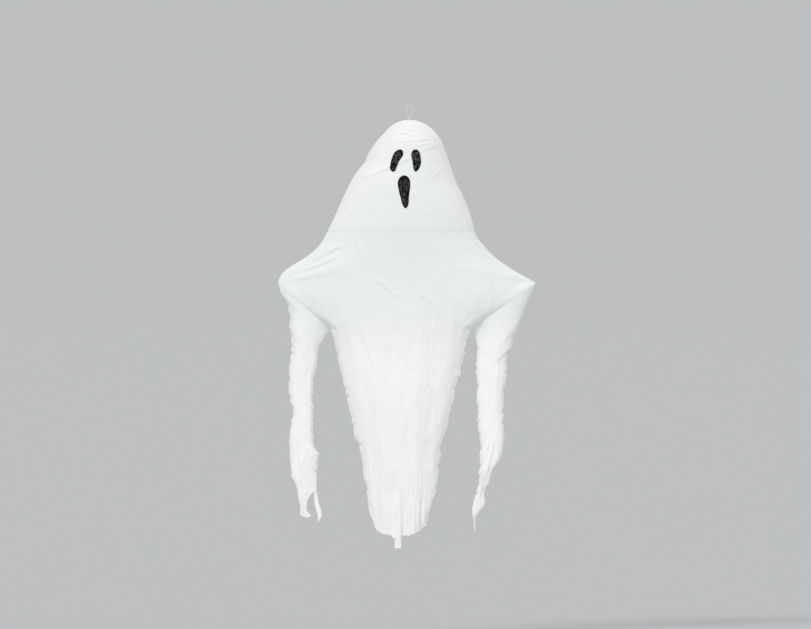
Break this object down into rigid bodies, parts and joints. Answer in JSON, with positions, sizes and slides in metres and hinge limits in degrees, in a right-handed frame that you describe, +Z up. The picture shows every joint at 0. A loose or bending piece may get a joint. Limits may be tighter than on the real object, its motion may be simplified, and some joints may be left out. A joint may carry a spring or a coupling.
{
  "type": "hanging fabric ghost",
  "caption": "Tall hanging cloth ghost with a rounded hood, black face patches, wide pointed shoulders, torn sleeves, ragged hem and a cord loop.",
  "frame": {"origin": "where a hook bears inside the top of the hanging loop, on the middle axis of the head", "axes": "+Z up along the middle axis of the head, -Y the way the face looks, +X to the viewer's right from shoulder to shoulder"},
  "size_m": [1.2683, 0.3078, 2.174],
  "materials": {
    "white_cloth": "thin crinkled white cloth, matt",
    "black_cloth": "black crinkled cloth with a faint sheen",
    "white_foam": "light white foam",
    "steel_wire": "plain drawn steel wire",
    "white_cord": "twisted white cord",
    "label_tape": "smooth white tape"
  },
  "bodies": {
    "root": {"hood": "white_cloth", "body": "white_cloth", "left_sleeve": "white_cloth", "right_sleeve": "white_cloth", "left_eye": "black_cloth", "right_eye": "black_cloth", "mouth": "black_cloth", "head_ball": "white_foam", "shoulder_wire": "steel_wire", "hanging_loop": "white_cord", "label": "label_tape"}
  },
  "joints": []
}
